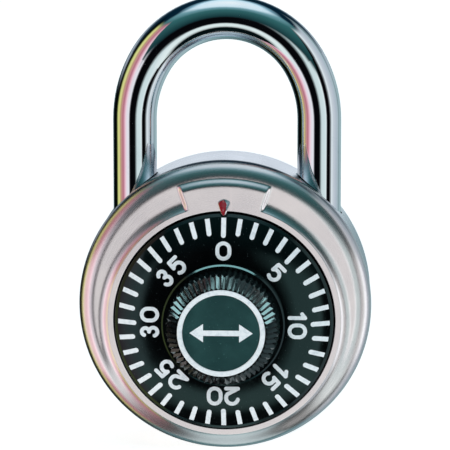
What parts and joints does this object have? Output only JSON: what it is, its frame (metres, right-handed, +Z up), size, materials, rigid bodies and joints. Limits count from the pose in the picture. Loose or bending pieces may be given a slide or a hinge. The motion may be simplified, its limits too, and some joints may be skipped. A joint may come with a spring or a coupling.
{
  "type": "combination padlock",
  "caption": "Round combination padlock with a numbered dial, a fluted knob and a U-shaped shackle that lifts to open; its wheels, cam, pawl and fence are inside.",
  "frame": {"origin": "centre of the round case on its flat back face", "axes": "+X to the right seen from the front, +Z up along the shackle legs, and the dial faces -Y, so +Y is the back face's outward normal"},
  "size_m": [0.048, 0.0275, 0.0742],
  "materials": {
    "satin_steel": "satin pressed stainless steel",
    "shell_steel": "fine brushed stainless steel",
    "chrome": "polished chrome plate",
    "works_steel": "plain zinc-plated steel",
    "die_cast": "as-cast zinc alloy",
    "brass": "plain machined brass",
    "spring_steel": "drawn spring wire",
    "red_enamel": "glossy red enamel",
    "black_plastic": "polished black moulding",
    "white_enamel": "white enamel fill",
    "label_face": "dark grey-green printed disc",
    "nylon": "natural nylon"
  },
  "bodies": {
    "case": {"rear_shell": "shell_steel", "front_cover": "satin_steel", "index_mark": "red_enamel", "inner_case": "works_steel", "shackle_guide": "die_cast", "wheel_post": "brass", "tension_washer": "spring_steel", "wheel_spacers": "brass", "dial_washer": "nylon", "pivot_post": "works_steel", "pivot_clip": "spring_steel", "spring_seat": "works_steel", "lever_spring": "spring_steel", "shackle_spring": "spring_steel"},
    "dial_body": {"dial": "black_plastic", "dial_markings": "white_enamel", "knob": "black_plastic", "knob_ring": "white_enamel", "knob_label": "label_face", "label_arrow": "white_enamel", "dial_spindle": "works_steel", "drive_cam": "brass", "spindle_retainer": "spring_steel"},
    "middle_wheel_body": {"middle_wheel": "brass"},
    "front_wheel_body": {"front_wheel": "brass"},
    "shackle_body": {"shackle": "chrome", "heel_retaining_ring": "spring_steel"},
    "pawl_body": {"locking_pawl": "works_steel"},
    "fence_body": {"fence_lever": "works_steel", "fence_bar": "works_steel"}
  },
  "joints": [
    {"name": "dial_turn", "type": "hinge", "parent": "case", "child": "dial_body", "pos_m": [0, -0.0197, -0.0021], "axis": [0, -1, 0], "continuous": true},
    {"name": "middle_wheel_turn", "type": "hinge", "parent": "dial_body", "child": "middle_wheel_body", "pos_m": [0, -0.0086, -0.0021], "axis": [0, -1, 0], "range_deg": [0, 328]},
    {"name": "front_wheel_turn", "type": "hinge", "parent": "middle_wheel_body", "child": "front_wheel_body", "pos_m": [0, -0.0109, -0.0021], "axis": [0, -1, 0], "range_deg": [0, 328]},
    {"name": "shackle_lift", "type": "slide", "parent": "case", "child": "shackle_body", "axis": [0, 0, 1], "range_m": [0, 0.012], "deforming": ["shackle_spring"]},
    {"name": "pawl_turn", "type": "hinge", "parent": "case", "child": "pawl_body", "pos_m": [0.0076, -0.0073, 0.013], "axis": [0, -1, 0], "range_deg": [0, 114.7]},
    {"name": "fence_drop", "type": "hinge", "parent": "case", "child": "fence_body", "pos_m": [0.0076, -0.0037, 0.013], "axis": [0, -1, 0], "range_deg": [0, 2], "stiffness_Nm_per_rad": 0.005, "springref_deg": -11.46}
  ],
  "couplings": [
    {"joint": "pawl_turn", "follows": "shackle_lift", "rad_per_m": 166.67}
  ]
}
